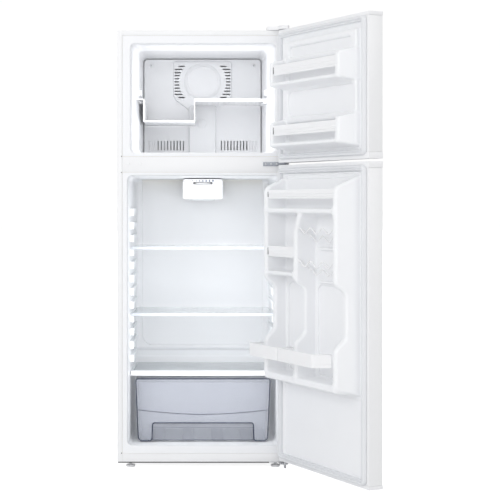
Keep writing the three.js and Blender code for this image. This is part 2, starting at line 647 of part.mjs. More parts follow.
// Rail round the bottle shelf: plan points are (u, distance past the liner's crest).
function bottleGuard(group, where, points) {
  const t = 3;
  const base = FACE + 85 + 1;
  const outer = points.map(([u, d]) => [EDGE - u, base + d]);
  const mid = points.reduce((sum, [u]) => sum + u, 0) / points.length;
  const inner = points.map(([u, d]) => [EDGE - (u < mid ? u + t : u - t), base + (d > 0 ? d - t : -1)]);
  piece(group, `bottle_guard_${where}`, cut(prism(outer, 'z', 405, 448), prism(inner, 'z', 400, 450)),
    WHITE_PLASTIC);
}

function freezerDoor() {
  const door = new THREE.Group();
  const size = doorShell(door, 'freezer_door', FREEZER_DOOR);
  const crest = 72;
  const low = 16;
  const outline = [
    [0, 1459], [low, 1455], [low, 1404], [crest, 1392], [crest, 1312], [low, 1300], [low, 1200],
    [crest, 1188], [crest, 1108], [0, 1104],
  ];
  const walls = [{ outline, u0: 62, u1: 86 }, { outline, u0: 508, u1: 532 }];
  const rack = (z) => sideProfile([[0, z - 10], [low, z - 8], [crest, z], [crest, z + 10], [0, z + 12]], 84, 510);
  const extras = [
    doorBox(84, 510, 0, low, 1112, 1456), rack(1312), rack(1108),
  ];
  const pockets = [
    doorBox(98, 496, 6, low + 1, 1404, 1440), doorBox(92, 502, 6, low + 1, 1206, 1292),
    doorBox(90, 504, 6, low + 1, 1328, 1392), doorBox(90, 504, 6, low + 1, 1124, 1188),
  ];
  liner(door, 'freezer_door', size, walls, extras, pockets);
  bar(door, 'freezer_door_upper_bar', 86, 508, crest - 10, 1346, 1381);
  bar(door, 'freezer_door_lower_bar', 86, 508, crest - 10, 1143, 1178);
  place(door);
}

function place(door) {
  door.position.set(PIVOT.x, PIVOT.y, 0);
  door.rotation.z = OPEN;
  fridge.add(door);
}

// ---------------------------------------------------------------- assembly
outerShell();
cabinetFoam();
freezerLiner();
freshLiner();
mullion();
base();
machineBase();
machineRoom();
evaporatorCover();
evaporatorFan();
freezerShelf();
controlHousing();
glassShelf('upper', UPPER_SHELF_Z);
glassShelf('lower', LOWER_SHELF_Z);
crisper();
hinges();
foot('left', -252);
foot('right', 252);
freezerDoor();
freshDoor();

// The frame's origin is on the floor, under the middle of the whole object as it stands.
fridge.updateMatrixWorld(true);
const extent = new THREE.Box3().setFromObject(fridge, true);
const middle = extent.getCenter(new THREE.Vector3());
fridge.position.set(-middle.x, -middle.y, -extent.min.z);

export default fridge;
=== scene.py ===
import math

import bmesh
import bpy
import numpy as np
from mathutils import Matrix, Vector


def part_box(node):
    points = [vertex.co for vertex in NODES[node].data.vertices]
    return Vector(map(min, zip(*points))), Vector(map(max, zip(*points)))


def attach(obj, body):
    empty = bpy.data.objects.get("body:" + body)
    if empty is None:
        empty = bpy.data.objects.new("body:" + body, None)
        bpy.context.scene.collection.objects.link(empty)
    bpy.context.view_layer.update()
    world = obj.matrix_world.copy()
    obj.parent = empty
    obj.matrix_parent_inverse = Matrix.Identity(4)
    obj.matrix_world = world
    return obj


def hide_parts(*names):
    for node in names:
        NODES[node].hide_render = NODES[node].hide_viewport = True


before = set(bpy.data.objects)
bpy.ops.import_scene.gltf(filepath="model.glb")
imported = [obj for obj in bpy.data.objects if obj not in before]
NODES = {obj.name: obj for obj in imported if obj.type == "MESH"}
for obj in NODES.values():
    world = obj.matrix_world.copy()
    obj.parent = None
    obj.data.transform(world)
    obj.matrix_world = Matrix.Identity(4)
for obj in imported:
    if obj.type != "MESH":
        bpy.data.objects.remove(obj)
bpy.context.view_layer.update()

# ---------------------------------------------------------------- dimensions, in millimetres
WIDTH, DEPTH, BOTTOM = 595.0, 590.0, 21.0
HALF = WIDTH / 2
SHIFT = Vector(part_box("outer_shell")[0]) * 1000 - Vector((-HALF, 0, BOTTOM))  # to the row frame
PIVOT = (282.0, -30.0)
EDGE, FACE = 15.5, 16.0  # from the hinge line to the door's edge and its inner face
OPEN = math.radians(114.5)
RIB = dict(top=897.0, pitch=47.0, count=12)
FAN_Z = 1368.0
COVER_Y = 400.0
COVER_SLOT_PITCH, LOUVRE_PITCH = 11.8, 11.6
DIAL_Y, DIAL_Z, DIAL_GRIP_R = 170.0, 987.5, 29.6
SWITCH_X, SWITCH_Z = 244.0, 960.0
FOAM_INSET = 3.4  # from the face of a door's liner to the foam behind it
DOOR_CREST = {"freezer": 72, "fresh": 85}  # how far the ridges stand off a door's inner face

# ---------------------------------------------------------------- brightness
WORLD_LIGHT, WORLD_SEEN = 0.60, 1.02  # on the object, and as the backdrop
FLOOR_GLOW = 0.82  # keeps the floor as pale as the backdrop


# ---------------------------------------------------------------- camera, light and floor
def place(x, y, z):
    return Vector(((x + SHIFT.x) / 1000, (y + SHIFT.y) / 1000, z / 1000))


def camera():
    data = bpy.data.cameras.new("camera")
    data.lens, data.sensor_width = 107.06, 36.0
    data.shift_x, data.shift_y = 0.11, -0.10
    data.clip_end = 60
    cam = bpy.data.objects.new("camera", data)
    cam.location = place(-28, -5150, 927.7)
    cam.rotation_euler = (math.pi / 2, 0, 0)
    bpy.context.scene.collection.objects.link(cam)
    bpy.context.scene.camera = cam


def area(name, at, to, size, power):
    data = bpy.data.lights.new(name, "AREA")
    data.shape, data.size, data.size_y, data.energy = "RECTANGLE", size[0], size[1], power
    lamp = bpy.data.objects.new(name, data)
    lamp.location = at
    lamp.rotation_euler = (Vector(to) - Vector(at)).to_track_quat("-Z", "Y").to_euler()
    bpy.context.scene.collection.objects.link(lamp)


def studio():
    """A white room: broad soft lights, a weak fill in each compartment's mouth, and a pale floor."""
    world = bpy.data.worlds.new("studio")
    bpy.context.scene.world = world
    world.use_nodes = True
    sky = world.node_tree.nodes["Background"]
    path = world.node_tree.nodes.new("ShaderNodeLightPath")
    level = world.node_tree.nodes.new("ShaderNodeMapRange")
    level.inputs["To Min"].default_value = WORLD_LIGHT
    level.inputs["To Max"].default_value = WORLD_SEEN
    world.node_tree.links.new(path.outputs["Is Camera Ray"], level.inputs["Value"])
    world.node_tree.links.new(level.outputs["Result"], sky.inputs[1])
    sky.inputs[0].default_value = (1.0, 1.0, 1.0, 1)
    bpy.context.scene.view_settings.view_transform = "Standard"
    area("front", (-0.2, -5.2, 1.5), (-0.1, 0.3, 0.8), (3.0, 2.4), 28)
    area("front_left", (-3.2, -3.6, 2.4), (0, 0, 0.8), (2.4, 2.4), 55)
    area("front_right", (3.4, -4.4, 1.8), (-0.2, 0.2, 0.8), (2.0, 2.4), 18)
    area("overhead", (0, -0.6, 4.2), (0, 0, 0), (4.0, 4.0), 22)
    area("fresh_fill", place(0, 6, 545), place(0, 400, 545), (0.48, 0.88), 1.4)
    area("freezer_fill", place(0, 12, 1285), place(0, 400, 1285), (0.46, 0.32), 0.46)
    area("freezer_low_fill", place(0, 12, 1150), place(0, 400, 1150), (0.46, 0.10), 0.2)
    floor = sheet_mesh("floor", [(-40, -40, 0), (40, -40, 0), (40, 40, 0), (-40, 40, 0)])
    pale = material("floor", (0.93, 0.93, 0.935), 0.65, grain=(40, 0.02))
    shader = pale.node_tree.nodes["Principled BSDF"]
    seen = pale.node_tree.nodes.new("ShaderNodeLightPath")
    glow = pale.node_tree.nodes.new("ShaderNodeMapRange")
    glow.inputs["To Max"].default_value = FLOOR_GLOW
    pale.node_tree.links.new(seen.outputs["Is Camera Ray"], glow.inputs["Value"])
    pale.node_tree.links.new(glow.outputs["Result"], shader.inputs["Emission Strength"])
    shader.inputs["Emission Color"].default_value = (1, 1, 1, 1)
    floor.data.materials.append(pale)


def sheet_mesh(name, corners):
    mesh = bpy.data.meshes.new(name)
    mesh.from_pydata(corners, [], [(0, 1, 2, 3)])
    obj = bpy.data.objects.new(name, mesh)
    bpy.context.scene.collection.objects.link(obj)
    return obj


# ---------------------------------------------------------------- materials
MATERIALS = {}


def material(name, color, rough, metal=0.0, grain=(900, 0.05), tint=0.02, coat=0.0, alpha=1.0,
             stretch=(1, 1, 1), wear=0.03):
    """A moulded, painted or metal surface: fine grain in its bump, slow drift in tone and gloss."""
    if name in MATERIALS:
        return MATERIALS[name]
    m = bpy.data.materials.new(name)
    m.use_nodes = True
    tree = m.node_tree
    shader = tree.nodes["Principled BSDF"]
    link = tree.links.new
    coords = tree.nodes.new("ShaderNodeTexCoord")
    mapping = tree.nodes.new("ShaderNodeMapping")
    mapping.inputs["Scale"].default_value = stretch
    link(coords.outputs["Object"], mapping.inputs["Vector"])

    def noise(scale, detail):
        n = tree.nodes.new("ShaderNodeTexNoise")
        n.inputs["Scale"].default_value = scale
        n.inputs["Detail"].default_value = detail
        link(mapping.outputs["Vector"], n.inputs["Vector"])
        return n.outputs["Fac"]

    drift = noise(6, 3)
    ramp = tree.nodes.new("ShaderNodeValToRGB")
    ramp.color_ramp.elements[0].position, ramp.color_ramp.elements[1].position = 0.3, 0.7
    ramp.color_ramp.elements[0].color = (*[c * (1 - tint) for c in color], 1)
    ramp.color_ramp.elements[1].color = (*color, 1)
    link(drift, ramp.inputs["Fac"])
    link(ramp.outputs["Color"], shader.inputs["Base Color"])
    spread = tree.nodes.new("ShaderNodeMapRange")
    spread.inputs["To Min"].default_value = max(rough - wear, 0.02)
    spread.inputs["To Max"].default_value = rough + wear
    link(noise(45, 4), spread.inputs["Value"])
    link(spread.outputs["Result"], shader.inputs["Roughness"])
    bump = tree.nodes.new("ShaderNodeBump")
    bump.inputs["Strength"].default_value = grain[1]
    bump.inputs["Distance"].default_value = 0.0004
    link(noise(grain[0], 2), bump.inputs["Height"])
    link(bump.outputs["Normal"], shader.inputs["Normal"])
    shader.inputs["Metallic"].default_value = metal
    shader.inputs["Coat Weight"].default_value = coat
    shader.inputs["Coat Roughness"].default_value = 0.12
    shader.inputs["IOR"].default_value = 1.45
    shader.inputs["Alpha"].default_value = alpha
    MATERIALS[name] = m
    return m


def enamel():
    return material("white_enamel", (0.90, 0.905, 0.915), 0.3, grain=(260, 0.10), tint=0.006, coat=0.25)


def moulded():
    return material("white_moulding", (0.90, 0.905, 0.92), 0.38, grain=(1500, 0.10), tint=0.01)


def lining():
    return material("liner_sheet", (0.915, 0.925, 0.945), 0.36, grain=(420, 0.06), tint=0.012)


def rubber():
    return material("white_rubber", (0.80, 0.815, 0.84), 0.62, grain=(1800, 0.25), tint=0.03)


def tinted():
    return material("tinted_plastic", (0.64, 0.67, 0.75), 0.10, grain=(120, 0.03), tint=0.04, alpha=0.22)


# Near-black for the clear drawer's edges and moulded line: painted shade for the dark look of the tinted
# plastic seen edge-on.
def painted_edge_shade():
    return material("painted_edge_shade", (0.03, 0.04, 0.075), 0.2, grain=(300, 0.05), tint=0.15)


def pane():
    return material("shelf_glass", (0.72, 0.79, 0.82), 0.06, grain=(30, 0.01), tint=0.02, alpha=0.28)


def trim_clear():
    return material("clear_trim", (0.78, 0.82, 0.88), 0.14, grain=(200, 0.04), tint=0.03, alpha=0.75)


def frosted():
    return material("frosted_lens", (0.90, 0.92, 0.94), 0.5, grain=(2200, 0.3), tint=0.02, alpha=0.8)


def plate():
    return material("hinge_plate", (0.36, 0.38, 0.42), 0.38, metal=0.6, grain=(300, 0.25), tint=0.05)


def zinc():
    return material("zinc_steel", (0.62, 0.63, 0.65), 0.32, metal=0.95, grain=(500, 0.12), tint=0.12,
                    stretch=(0.15, 1, 1), wear=0.08)


def black():
    return material("black_plastic", (0.035, 0.036, 0.04), 0.55, grain=(1600, 0.3), tint=0.2, wear=0.08)


def dark_steel():
    return material("dark_steel", (0.05, 0.051, 0.055), 0.4, metal=0.3, grain=(700, 0.15), tint=0.2)


def fins():
    return material("fin_aluminium", (0.66, 0.67, 0.69), 0.35, metal=0.9, grain=(300, 0.3), tint=0.1,
                    stretch=(8, 0.3, 0.3), wear=0.08)


def foam():
    return material("foam", (0.80, 0.72, 0.48), 0.9, grain=(350, 0.8), tint=0.15)


def mark():
    return material("printed_mark", (0.16, 0.20, 0.28), 0.5, grain=(900, 0.05), tint=0.05)


# ---------------------------------------------------------------- distance fields, in millimetres
def rmin(a, b, r):
    """Union with a fillet of radius r."""
    return np.maximum(np.minimum(a, b), r) - np.hypot(np.maximum(r - a, 0), np.maximum(r - b, 0))


def rmax(a, b, r):
    """Intersection with a rounded edge of radius r."""
    return -rmin(-a, -b, r)


def carve(a, b, r):
    """The first shape with the second cut away."""
    return rmax(a, -b, r)


def span(v, low, high):
    """Signed distance along one axis to the stretch between low and high."""
    return np.abs(v - (low + high) / 2) - (high - low) / 2


def rbox(x, y, z, x0, x1, y0, y1, z0, z1, r):
    """Signed distance to a block with rounded edges."""
    q = [span(x, x0, x1) + r, span(y, y0, y1) + r, span(z, z0, z1) + r]
    out = np.sqrt(sum(np.maximum(v, 0) ** 2 for v in q))
    return out + np.minimum(np.maximum(np.maximum(q[0], q[1]), q[2]), 0) - r


def panel2d(a, b, a0, a1, b0, b1, r):
    """Signed distance to a rectangle with rounded corners."""
    q = [span(a, a0, a1) + r, span(b, b0, b1) + r]
    return np.hypot(np.maximum(q[0], 0), np.maximum(q[1], 0)) + np.minimum(np.maximum(*q), 0) - r


def rounded(points, radius, steps=6):
    """The outline with an arc at each corner, as tight as its edges need."""
    out = []
    n = len(points)
    for i, p in enumerate(points):
        p, a, b = (Vector(v) for v in (p, points[i - 1], points[(i + 1) % n]))
        u, v = (a - p), (b - p)
        turn = u.angle(v)
        reach = min(radius / math.tan(turn / 2), u.length * 0.48, v.length * 0.48)
        r = reach * math.tan(turn / 2)
        u.normalize()
        v.normalize()
        centre = p + (u + v).normalized() * (r / math.sin(turn / 2))
        start, end = p + u * reach - centre, p + v * reach - centre
        for k in range(steps + 1):
            w = start.lerp(end, k / steps)
            w = w.normalized() * r
            out.append(tuple(centre + w))
    return out


def poly(points, a, b):
    """Signed distance to a closed outline in the plane."""
    best, sign = None, 1.0
    for i, (ax, ay) in enumerate(points):
        bx, by = points[i - 1]
        ex, ey = bx - ax, by - ay
        wx, wy = a - ax, b - ay
        t = np.clip((wx * ex + wy * ey) / (ex * ex + ey * ey), 0, 1)
        dist = (wx - ex * t) ** 2 + (wy - ey * t) ** 2
        best = dist if best is None else np.minimum(best, dist)
        c1, c2, c3 = b >= ay, b < by, ex * wy > ey * wx
        sign = np.where((c1 & c2 & c3) | ~(c1 | c2 | c3), -sign, sign)
    return sign * np.sqrt(best)


def extrude(flat, v, low, high, r):
    """A flat field carried from low to high along v, with rounded edges."""
    q1, q2 = flat + r, span(v, low, high) + r
    return np.minimum(np.maximum(q1, q2), 0) + np.hypot(np.maximum(q1, 0), np.maximum(q2, 0)) - r


def grid(low, high, coarse, *fine):
    """Places along one axis: even steps, and closer ones in each (from, to, step)."""
    at = [v for v in np.arange(low, high, coarse) if not any(a < v < b for a, b, _ in fine)]
    for a, b, step in fine:
        at += list(np.arange(max(a, low), min(b, high) + step / 2, step))
    at = np.unique(np.round([v for v in at if low + 0.6 < v < high - 0.6], 3))
    at = at[np.append(True, np.diff(at) > 0.25)]
    return np.concatenate([[low, low + 0.3], at, [high - 0.3, high]])


def both_sides(*fine):
    return [f for a, b, s in fine for f in ((a, b, s), (-b, -a, s))]


def skin(field, xs, ys, zs):
    """Vertices, faces and normals of the surface where the field is zero."""
    axes = (xs, ys, zs)
    values = np.broadcast_to(field(xs[:, None, None], ys[None, :, None], zs[None, None, :]),
                             tuple(len(a) for a in axes)).astype(np.float32)
    inside = values < 0
    size = np.array([len(a) - 1 for a in axes])
    weight = np.array([size[1] * size[2], size[2], 1])
    cells, spots, faces = [], [], []
    for k in range(3):
        low = [slice(None)] * 3
        high = [slice(None)] * 3
        low[k], high[k] = slice(None, -1), slice(1, None)
        at = np.argwhere(inside[tuple(low)] != inside[tuple(high)])
        step = np.eye(3, dtype=int)[k]
        a = values[tuple(at.T)]
        b = values[tuple((at + step).T)]
        spot = np.stack([axes[i][at[:, i]] for i in range(3)], 1).astype(float)
        spot[:, k] += a / (a - b) * (axes[k][at[:, k] + 1] - axes[k][at[:, k]])
        e1, e2 = np.eye(3, dtype=int)[(k + 1) % 3], np.eye(3, dtype=int)[(k + 2) % 3]
        round_edge = [at, at - e1, at - e1 - e2, at - e2]
        fits = [np.all((c >= 0) & (c < size), axis=1) for c in round_edge]
        for c, ok in zip(round_edge, fits):
            cells.append((c[ok] * weight).sum(1))
            spots.append(spot[ok])
        whole = np.all(fits, axis=0)
        quad = np.stack([(c[whole] * weight).sum(1) for c in round_edge], 1)
        flip = ~inside[tuple(at[whole].T)]
        quad[flip] = quad[flip][:, ::-1]
        faces.append(quad)
    names, where = np.unique(np.concatenate(cells), return_inverse=True)
    spots = np.concatenate(spots)
    count = np.bincount(where)
    points = np.stack([np.bincount(where, spots[:, i]) / count for i in range(3)], 1)
    faces = np.searchsorted(names, np.concatenate(faces))
    for _ in range(2):
        value, slope = gradient(field, points)
        points -= np.clip(value / np.maximum((slope ** 2).sum(1), 0.2), -1.5, 1.5)[:, None] * slope
    _, slope = gradient(field, points)
    normals = slope / np.maximum(np.linalg.norm(slope, axis=1), 1e-6)[:, None]
    return points, faces, normals


def gradient(field, points, e=0.12):
    """The field's value and slope at each point."""
    x, y, z = points.T
    slope = [field(x + e, y, z) - field(x - e, y, z), field(x, y + e, z) - field(x, y - e, z),
             field(x, y, z + e) - field(x, y, z - e)]
    return field(x, y, z), np.stack([np.broadcast_to(s, x.shape) for s in slope], 1) / (2 * e)


# ---------------------------------------------------------------- meshes
def add(name, points, faces, look, body, door=False, normals=None):
    """A new piece from millimetre points: in the cabinet's frame, or in a door's (x, y, z)."""
    mesh = bpy.data.meshes.new(name)
    if isinstance(points, np.ndarray):
        mesh.vertices.add(len(points))
        mesh.vertices.foreach_set("co", (points / 1000).astype(np.float32).ravel())
        mesh.loops.add(faces.size)
        mesh.loops.foreach_set("vertex_index", faces.astype(np.int32).ravel())
        mesh.polygons.add(len(faces))
        mesh.polygons.foreach_set("loop_start", np.arange(0, faces.size, faces.shape[1], dtype=np.int32))
        mesh.update(calc_edges=True)
        mesh.validate()
    else:
        mesh.from_pydata([tuple(c / 1000 for c in p) for p in points], [], faces)
        fix = bmesh.new()
        fix.from_mesh(mesh)
        bmesh.ops.recalc_face_normals(fix, faces=fix.faces)
        fix.to_mesh(mesh)
        fix.free()
    for p in mesh.polygons:
        p.use_smooth = True
    if normals is not None and len(mesh.vertices) == len(normals):
        mesh.normals_split_custom_set_from_vertices(normals.astype(float).tolist())
    obj = bpy.data.objects.new(name, mesh)
    bpy.context.scene.collection.objects.link(obj)
    turn = Matrix.Rotation(OPEN, 4, "Z") if door else Matrix.Identity(4)
    at = place(*PIVOT, 0) if door else place(0, 0, 0)
    obj.matrix_world = Matrix.Translation(at) @ turn
    mesh.materials.append(look)
    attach(obj, body)
    return obj


def formed(name, field, axes, look, body, stands_for, door=False):
    """A piece made from a distance field, in place of CAD pieces."""
    points, faces, normals = skin(field, *axes)
    obj = add(name, points, faces, look, body, door, normals)
    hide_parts(*stands_for)
    return obj


def bevel(obj, width, segments=3, angle=32):
    b = obj.modifiers.new("edges", "BEVEL")
    b.width, b.segments, b.limit_method = width / 1000, segments, "ANGLE"
    b.angle_limit = math.radians(angle)
    b.miter_outer = "MITER_ARC"
    b.harden_normals = True
    return obj


def dress(node, look, width=0.0, segments=3, angle=32, pierced=False):
    """A CAD piece that keeps its shape: flat faces joined, edges rounded, its own material."""
    obj = NODES[node]
    obj.data.materials.clear()
    obj.data.materials.append(look)
    for p in obj.data.polygons:
        p.use_smooth = True
    weld = obj.modifiers.new("weld", "WELD")
    weld.merge_threshold = 0.00002
    if not pierced:
        flat = obj.modifiers.new("flat", "DECIMATE")
        flat.decimate_type, flat.angle_limit = "DISSOLVE", math.radians(0.6)
    if width:
        bevel(obj, width, segments, angle)
    else:
        split = obj.modifiers.new("split", "EDGE_SPLIT")
        split.split_angle = math.radians(angle)
    return obj


def lathe(name, profile, centre, axis, look, body, sides=96, door=False, hollow=False):
    """A turned piece: profile points are (radius, along the axis)."""
    points, faces = [], []
    for r, h in profile:
        for k in range(sides):
            t = 2 * math.pi * k / sides
            c, s = r * math.cos(t), r * math.sin(t)
            p = {"x": (h, c, s), "y": (c, h, -s), "z": (c, s, h)}[axis]
            points.append([p[i] + centre[i] for i in range(3)])
    rings = len(profile)
    for i in range(rings if hollow else rings - 1):
        m = (i + 1) % rings
        for k in range(sides):
            j = (k + 1) % sides
            faces.append((i * sides + k, i * sides + j, m * sides + j, m * sides + k))
    if not hollow:
        faces += [tuple(range(sides))[::-1], tuple(range((rings - 1) * sides, rings * sides))]
    obj = add(name, points, faces, look, body, door)
    split = obj.modifiers.new("split", "EDGE_SPLIT")
    split.split_angle = math.radians(40)
    return obj


def block(name, outline, axis, low, high, look, body, width=0.8, door=False):
    """An outline carried along one axis, with its edges rounded."""
    def put(a, b, c):
        return {"x": (c, a, b), "y": (a, c, b), "z": (a, b, c)}[axis]

    n = len(outline)
    points = [put(a, b, c) for c in (low, high) for a, b in outline]
    faces = [tuple(range(n)), tuple(range(n, 2 * n))]
    faces += [(i, (i + 1) % n, n + (i + 1) % n, n + i) for i in range(n)]
    obj = add(name, points, faces, look, body, door)
    return bevel(obj, width)


def brick(name, x0, x1, y0, y1, z0, z1, look, body, width=0.8, door=False):
    return block(name, [(x0, y0), (x1, y0), (x1, y1), (x0, y1)], "z", z0, z1, look, body, width, door)


def tube(name, path, radius, look, body, door=False, sides=14, closed=False):
    path = [Vector(p) for p in path]
    n = len(path)
    points, faces = [], []
    up = Vector((0.12, 0.31, 0.94))
    for i, p in enumerate(path):
        a = path[(i - 1) % n] if closed or i > 0 else p
        b = path[(i + 1) % n] if closed or i < n - 1 else p
        along = (b - a).normalized()
        side = along.cross(up).normalized()
        top = side.cross(along)
        for k in range(sides):
            t = 2 * math.pi * k / sides
            points.append(p + side * radius * math.cos(t) + top * radius * math.sin(t))
    for i in range(n if closed else n - 1):
        for k in range(sides):
            j, m = (k + 1) % sides, (i + 1) % n
            faces.append((i * sides + k, i * sides + j, m * sides + j, m * sides + k))
    if not closed:
        faces += [tuple(range(sides)), tuple(range((n - 1) * sides, n * sides))]
    return add(name, points, faces, look, body, door)


def screw(name, at, axis, out, body, radius=4.2, door=False):
    """A pan-head screw with a round recess in its head; out is +1 or -1 along the axis."""
    profile = [(0.01, 0), (radius, 0), (radius, 0.7), (radius * 0.93, 1.5), (radius * 0.7, 2.1),
               (radius * 0.42, 2.35), (radius * 0.4, 1.1), (0.01, 1.0)]
    return lathe(name, [(r, h * out) for r, h in profile], at, axis, zinc(), body, 40, door)


# ---------------------------------------------------------------- freezer compartment
def between(v, places, sizes):
    return np.interp(v, places, sizes)


def freezer_field(x, y, z):
    a = np.abs(x)
    half = between(y, [-5, 2.5, 8, 100, 525], [252, 252, 250, 226, 218])
    top = between(y, [-5, 2.5, 8, 100, 525], [1470, 1470, 1469, 1455, 1455])
    room = panel2d_varying(a, z, half, 1092.0, top, 16)
    f = rmax(-room, -y + 0 * x + 0 * z, 3.5)
    ledge = poly([(112, 1269.5), (112, 1278.5), (388, 1278.5), (388, 1275.5)], y, z)
    ledge = extrude(ledge, a, 212, 240, 1.4)
    f = rmin(f, 524.5 - y + 0 * x + 0 * z, 8)
    leaf = poly(rounded([(103, 1296), (103, 1313), (112, 1318), (158, 1300), (150, 1294)], 5), y, z)
    return rmin(rmin(f, ledge, 2.5), extrude(leaf, a, 217, 240, 1.5), 2.5)


def panel2d_varying(a, z, half, low, high, r):
    """A rounded rectangle about the middle plane, whose sizes change with depth."""
    q1 = a - half + r
    q2 = np.abs(z - (low + high) / 2) - (high - low) / 2 + r
    return np.hypot(np.maximum(q1, 0), np.maximum(q2, 0)) + np.minimum(np.maximum(q1, q2), 0) - r


def freezer_liner():
    xs = grid(-280, 280, 14, *both_sides((204, 258, 1.5)))
    ys = grid(-3, 528, 9, (-1, 12, 0.9), (94, 120, 1.6), (140, 162, 2), (380, 394, 2), (512, 528, 3))
    zs = grid(1078.3, 1497.7, 11, (1086, 1112, 1.5), (1264, 1322, 1.4), (1434, 1474, 1.5))
    formed("freezer_liner_sheet", freezer_field, (xs, ys, zs), lining(), "cabinet",
           ["freezer_liner"])


def cover_field(x, y, z):
    """The panel before the evaporator: a shield round the fan, a column under it, and rows of slots."""
    a = np.abs(x)
    f = rmax(panel2d(x, z, -218, 218, 1060, 1452.4, 13) + 0 * y, COVER_Y - y + 0 * x + 0 * z, 1.4)
    shield = [(-49, 1240), (-50, 1262), (-66, 1276), (-99, 1300), (-108, 1316), (-108, 1443),
              (108, 1443), (108, 1316), (99, 1300), (66, 1276), (50, 1262), (49, 1240)]
    f = rmin(f, extrude(poly(rounded(shield, 9, 3), x, z), y, 393, 430, 2.4), 2.5)
    f = rmin(f, extrude(panel2d(x, z, -49, 49, 1040, 1278, 5), y, 386, 430, 2.4), 4)
    k = np.clip(np.round((a - 71) / COVER_SLOT_PITCH), 0, 11)
    slot = panel2d(a - COVER_SLOT_PITCH * k, z, 68.6, 73.4, 1113, 1149, 2.3)
    f = np.maximum(f, -np.maximum(slot, np.where(k > 8, y - COVER_Y - 1.2, -9)))
    k = np.clip(np.round((z - FAN_Z) / LOUVRE_PITCH), -5, 5)
    end = np.abs(k) > 4
    inner = np.sqrt(88 ** 2 - (LOUVRE_PITCH * k) ** 2)
    across = np.maximum(inner - a, a - np.where(end, 90, 104))
    louvre = np.maximum(across, np.abs(z - FAN_Z - LOUVRE_PITCH * k) - 2.1)
    return np.maximum(f, -louvre)


def freezer_fittings():
    xs = grid(-219, 219, 8, (-214, 214, 1.3))
    ys = grid(384, 402.6, 3, (384.6, 389.5, 0.8), (391.5, 401.9, 0.8))
    zs = grid(1093.3, 1454, 9, (1108, 1154, 1.4), (1252, 1300, 2.2), (1300, 1453, 1.4))
    formed("evaporator_panel", cover_field, (xs, ys, zs), lining(), "cabinet",
           ["evaporator_cover"])
    disc = [(0.01, -11), (58, -11), (63, -10.4), (66.5, -8.5), (69.5, -6.8), (72, -5.6), (73, -4), (73, -0.3),
            (0.01, -0.3)]
    d = lathe("fan_disc", disc, (0, COVER_Y, FAN_Z), "y", lining(), "cabinet", 128)
    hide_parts("fan_cover_disc")
    ring = [(54, -10.9), (54.8, -11.8), (56.6, -11.8), (57.4, -10.9)]
    lathe("fan_disc_ring", ring, (0, COVER_Y, FAN_Z), "y", lining(), "cabinet", 128,
          hollow=True)
    cap = [(0.01, -16.6), (14.5, -16.6), (16.4, -15.8), (17, -14.6), (17, -14.1), (0.01, -14.1)]
    lathe("column_cap", cap, (-3, COVER_Y, 1213), "y", lining(), "cabinet", 64)
    for x in (-190, 190):
        boss = [(0.01, -3), (6, -3), (7.2, -2.2), (7.6, -0.3), (0.01, -0.3)]
        lathe(f"panel_boss_{x}", boss, (x, COVER_Y, 1429), "y", lining(), "cabinet", 40)
        screw(f"panel_screw_{x}", (x, COVER_Y - 3, 1429), "y", -1, "cabinet", 3.2)
    dress("evaporator_coil", fins(), 0.6, 2)
    dress("fan_motor", black(), 0.8, 2)
    dress("fan_blade", moulded(), 0.4, 2)


def freezer_shelf():
    dress("freezer_shelf", moulded(), 0.9, 3)
    for k in range(9):
        x = -192 + 18.6 * k
        brick(f"tray_rib_{k}", x - 1.2, x + 1.2, 66, 372, 1205.8, 1208.4, moulded(),
              "freezer_shelf", 0.5)
    for k in range(13):
        x = -16 + 19 * k
        brick(f"shelf_rib_{k}", x - 1.2, x + 1.2, 66, 372, 1276.2, 1279.2, moulded(),
              "freezer_shelf", 0.5)


# ---------------------------------------------------------------- fresh food compartment
def rib_outline(top, front, back, height):
    return rounded([(front, top - height), (front, top), (back, top), (back, top - height / 3)], 2.5, 3)


def fresh_field(x, y, z):
    a = np.abs(x)
    at = [-5, 2.5, 30, 408, 472]
    half = between(y, at, [262, 262, 258, 252.5, 251])
    low = between(y, at, [77.5, 77.5, 73.5, 72.5, 72.5])
    high = between(y, at, [1012.5, 1012.5, 1007.5, 1004.5, 1002.5])
    room = panel2d_varying(a, z, half, low, high, 17)
    f = rmax(-room, -y + 0 * x + 0 * z, 3.5)
    f = rmin(f, 469.5 - y + 0 * x + 0 * z, 14)
    window = panel2d(x, z, -226, 226, 380, 1060, 38)
    f = carve(f, extrude(window, y, 440, 472.5, 1.5), 1.5)
    hump = poly(rounded([(407, -60), (407, 343.5), (428, 365), (520, 369), (520, -60)], 6), y, z)
    f = rmin(f, hump + 0 * x, 8)
    k = np.clip(np.round((RIB["top"] - 13 - z) / RIB["pitch"]), 0, 10)
    zz = z + RIB["pitch"] * k
    f = rmin(f, extrude(poly(rib_outline(897, 112, 425, 26), y, zz), a, 244, 262, 2), 2.5)
    f = rmin(f, extrude(poly(rib_outline(380, 112, 400, 26), y, z), a, 244, 262, 2), 2.5)
    f = rmin(f, extrude(poly(rib_outline(318.7, 104, 400, 12), y, z), a, 244, 262, 1.5), 2.5)
    seat = rbox(x, y, z, SWITCH_X - 10, 300, 79, 103, SWITCH_Z - 10, SWITCH_Z + 10, 2.5)
    f = rmin(f, seat, 2)
    return np.maximum(f, -np.maximum(np.hypot(x - SWITCH_X, z - SWITCH_Z) - 5.6, y - 99))


def fresh_liner():
    xs = grid(-280, 280, 15, *both_sides((218, 234, 2), (240, 268, 1.4)), (84, 108, 1.4))
    ys = grid(-3, 476, 11, (-1, 12, 0.9), (58, 86, 1.6), (100, 120, 1.4), (396, 440, 2.6), (454, 476, 1.6))
    zs = grid(50.3, 1023.7, 9, (68, 98, 1.5), (300, 324, 1.4), (340, 392, 2), (392, 900, 1.9),
              (960, 1016, 1.5))
    formed("fresh_liner_sheet", fresh_field, (xs, ys, zs), lining(), "cabinet",
           ["fresh_food_liner"])


